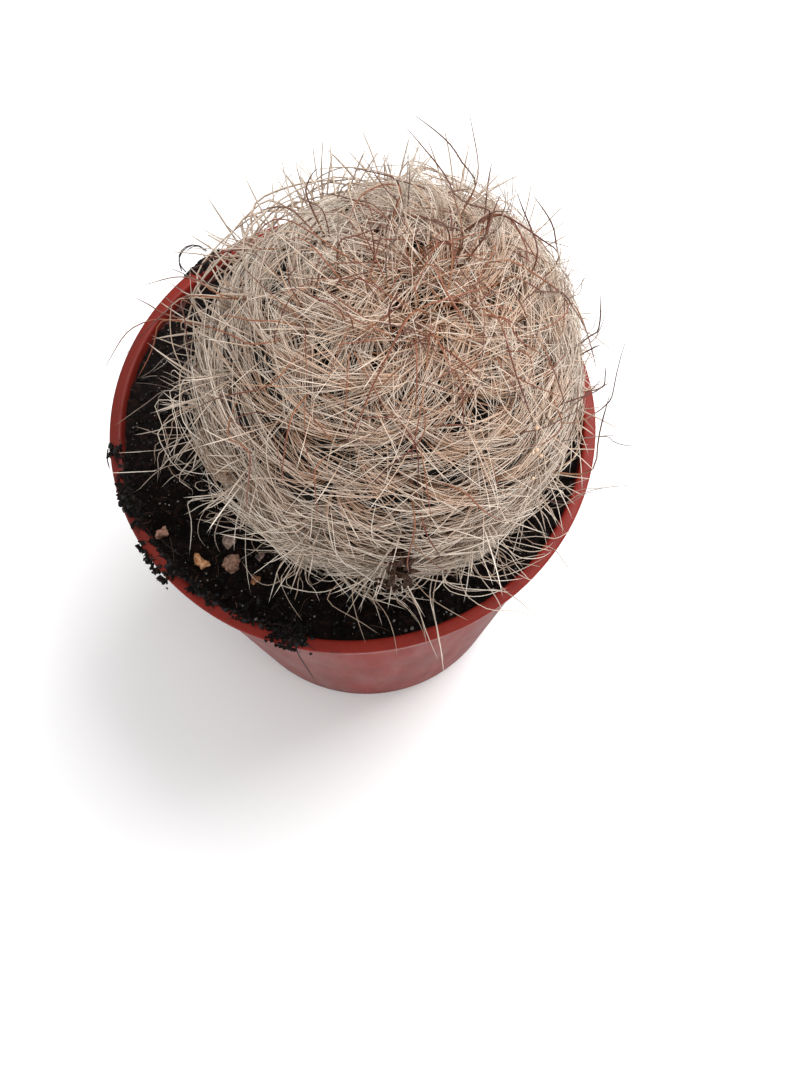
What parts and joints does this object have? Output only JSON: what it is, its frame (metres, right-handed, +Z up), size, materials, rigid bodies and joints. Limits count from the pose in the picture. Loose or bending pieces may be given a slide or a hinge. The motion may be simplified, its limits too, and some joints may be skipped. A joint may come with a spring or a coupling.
{
  "type": "potted eriosyce",
  "caption": "Globular cactus wrapped in long white hair-like spines and brown bristles, growing in compost in a round plastic nursery pot.",
  "frame": {"origin": "middle of the pot's flat underside, on the surface that it stands on", "axes": "+Z up along the pot's axis, -Y towards the front, +X to the right seen from the front"},
  "size_m": [0.086, 0.0854, 0.1417],
  "materials": {
    "pot_plastic": "satin moulded terracotta-red plastic",
    "compost": "moist black peaty compost",
    "cactus_hair": "cream hair-like spines and brown bristles over dark green skin",
    "dried_petals": "dry crumpled plant matter",
    "grit_stone": "rough mineral grit"
  },
  "bodies": {
    "root": {"pot": "pot_plastic", "soil": "compost", "cactus": "cactus_hair", "dried_flower": "dried_petals", "grit_1": "grit_stone", "grit_2": "grit_stone", "grit_3": "grit_stone", "grit_4": "grit_stone", "grit_5": "grit_stone", "grit_6": "grit_stone", "grit_7": "grit_stone", "grit_8": "grit_stone"}
  },
  "joints": []
}
